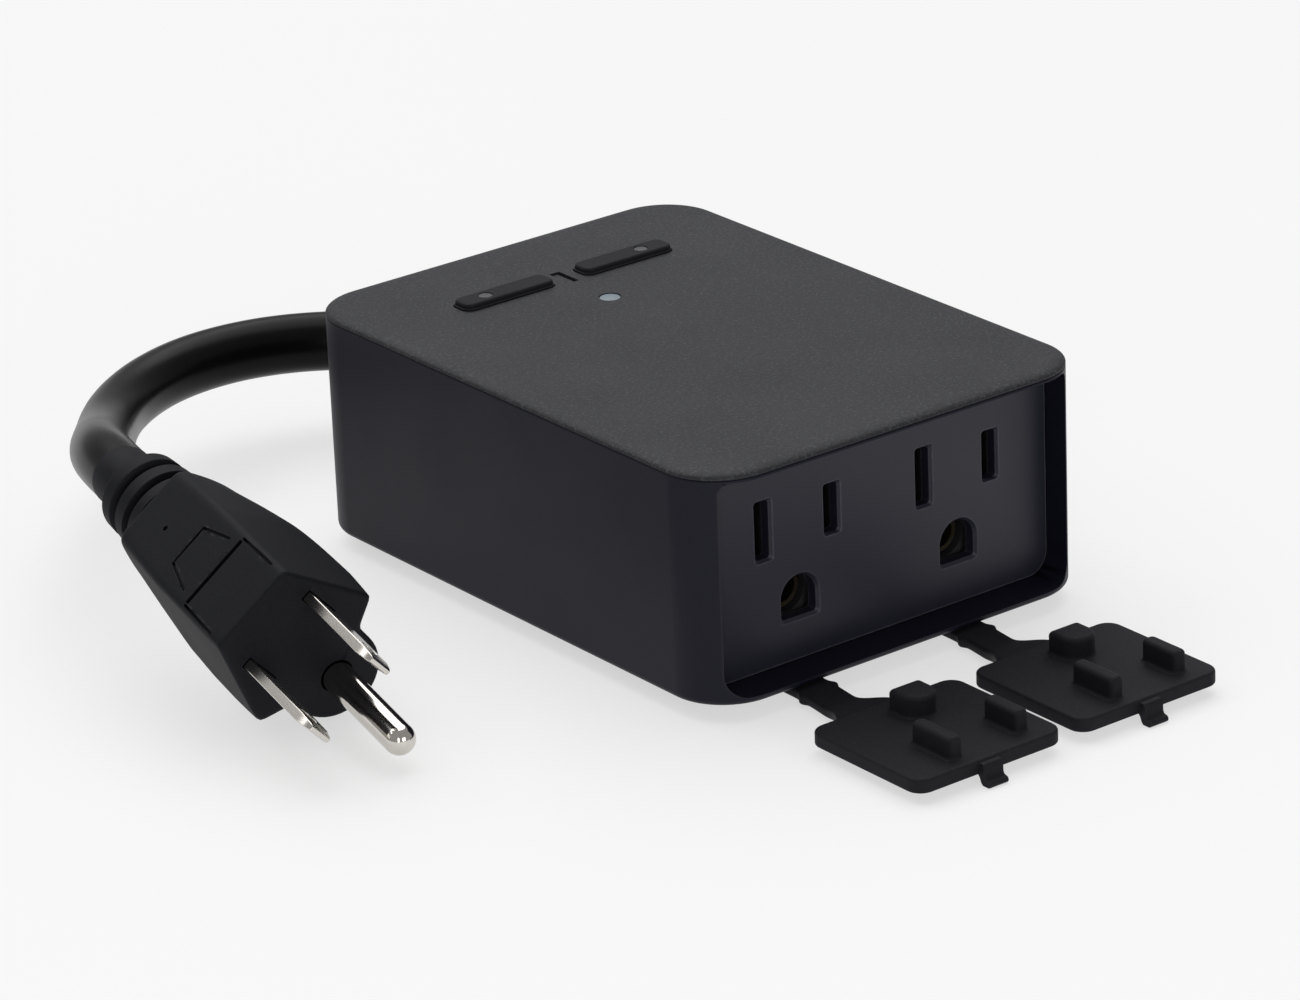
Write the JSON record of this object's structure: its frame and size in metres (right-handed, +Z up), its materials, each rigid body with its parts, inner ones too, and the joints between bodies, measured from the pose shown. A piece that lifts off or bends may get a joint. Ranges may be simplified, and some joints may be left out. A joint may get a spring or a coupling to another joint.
{
  "type": "outdoor smart plug",
  "caption": "Outdoor smart plug: flat box with grounded outlets in front, rubber outlet covers on straps, top buttons, and a short cord ending in a grounded plug.",
  "frame": {"origin": "centre of the flat underside of the base plate, on the surface the box stands on", "axes": "+Z up; the outlets face -Y; the cord leaves the rear towards +Y; +X is to the right seen from the front"},
  "size_m": [0.1294, 0.1848, 0.0395],
  "materials": {
    "housing": "smooth satin moulding",
    "top_texture": "fine spark-eroded grain",
    "panel": "satin moulding",
    "rubber": "matte soft rubber",
    "cord_jacket": "glossy jacket",
    "plug_moulding": "satin moulded vinyl",
    "nickel": "nickel plating",
    "lens": "translucent grey",
    "sensor_lens": "pale diffuser",
    "brass": "spring brass",
    "carrier": "thermoset moulding",
    "board": "solder mask",
    "relay_case": "moulded case",
    "coil_tape": "wrapped tape",
    "capacitor_sleeve": "shrink sleeve",
    "film_case": "moulded case",
    "fuse_body": "ceramic",
    "varistor_coat": "dipped coat",
    "steel": "zinc plated",
    "nylon": "moulded nylon",
    "black_part": "moulded",
    "led": "clear",
    "hot_insulation": "wire insulation",
    "neutral_insulation": "wire insulation",
    "ground_insulation": "wire insulation"
  },
  "bodies": {
    "housing": {"housing_shell": "housing", "top_cover": "top_texture", "base_plate": "housing", "base_seal": "rubber", "base_screws": "steel", "socket_panel": "panel", "panel_seal": "rubber", "button_seal": "rubber", "sensor_window": "sensor_lens", "cord_gland": "rubber", "cord_strain_relief": "rubber", "cord": "cord_jacket", "plug_body": "plug_moulding", "plug_strain_relief": "plug_moulding", "plug_hot_blade": "nickel", "plug_neutral_blade": "nickel", "plug_ground_pin": "nickel", "receptacle_carrier": "carrier", "hot_contacts": "brass", "neutral_contacts": "brass", "ground_contacts": "brass", "power_board": "board", "left_relay": "relay_case", "right_relay": "relay_case", "transformer": "coil_tape", "bulk_capacitor": "capacitor_sleeve", "film_capacitor": "film_case", "fuse": "fuse_body", "varistor": "varistor_coat", "control_board": "board", "board_posts": "nylon", "board_header": "black_part", "left_switch": "steel", "right_switch": "steel", "indicator_leds": "led", "light_sensor": "black_part", "radio_module": "steel", "hot_wire": "hot_insulation", "neutral_wire": "neutral_insulation", "ground_wire": "ground_insulation", "board_screws": "steel"},
    "left_button": {"left_button": "rubber", "left_indicator": "lens", "left_plunger": "nylon"},
    "right_button": {"right_button": "rubber", "right_indicator": "lens", "right_plunger": "nylon"},
    "left_strap": {"left_anchor": "rubber", "left_strap": "rubber"},
    "right_strap": {"right_anchor": "rubber", "right_strap": "rubber"},
    "left_cover": {"left_cover": "rubber"},
    "right_cover": {"right_cover": "rubber"}
  },
  "joints": [
    {"name": "left_button_press", "type": "slide", "parent": "housing", "child": "left_button", "axis": [0, 0, -1], "range_m": [0, 0.0004], "stiffness_N_per_m": 400},
    {"name": "right_button_press", "type": "slide", "parent": "housing", "child": "right_button", "axis": [0, 0, -1], "range_m": [0, 0.0004], "stiffness_N_per_m": 400},
    {"name": "left_strap_slide", "type": "slide", "parent": "housing", "child": "left_strap", "axis": [0, 1, 0], "range_m": [0, 0.006], "deforming": ["left_strap"]},
    {"name": "left_cover_hinge", "type": "hinge", "parent": "left_strap", "child": "left_cover", "pos_m": [-0.015, -0.05485, -0.00115], "axis": [-1, 0, 0], "range_deg": [0, 90], "deforming": ["left_strap"]},
    {"name": "right_strap_slide", "type": "slide", "parent": "housing", "child": "right_strap", "axis": [0, 1, 0], "range_m": [0, 0.006], "deforming": ["right_strap"]},
    {"name": "right_cover_hinge", "type": "hinge", "parent": "right_strap", "child": "right_cover", "pos_m": [0.015, -0.05485, -0.00115], "axis": [-1, 0, 0], "range_deg": [0, 90], "deforming": ["right_strap"]}
  ]
}
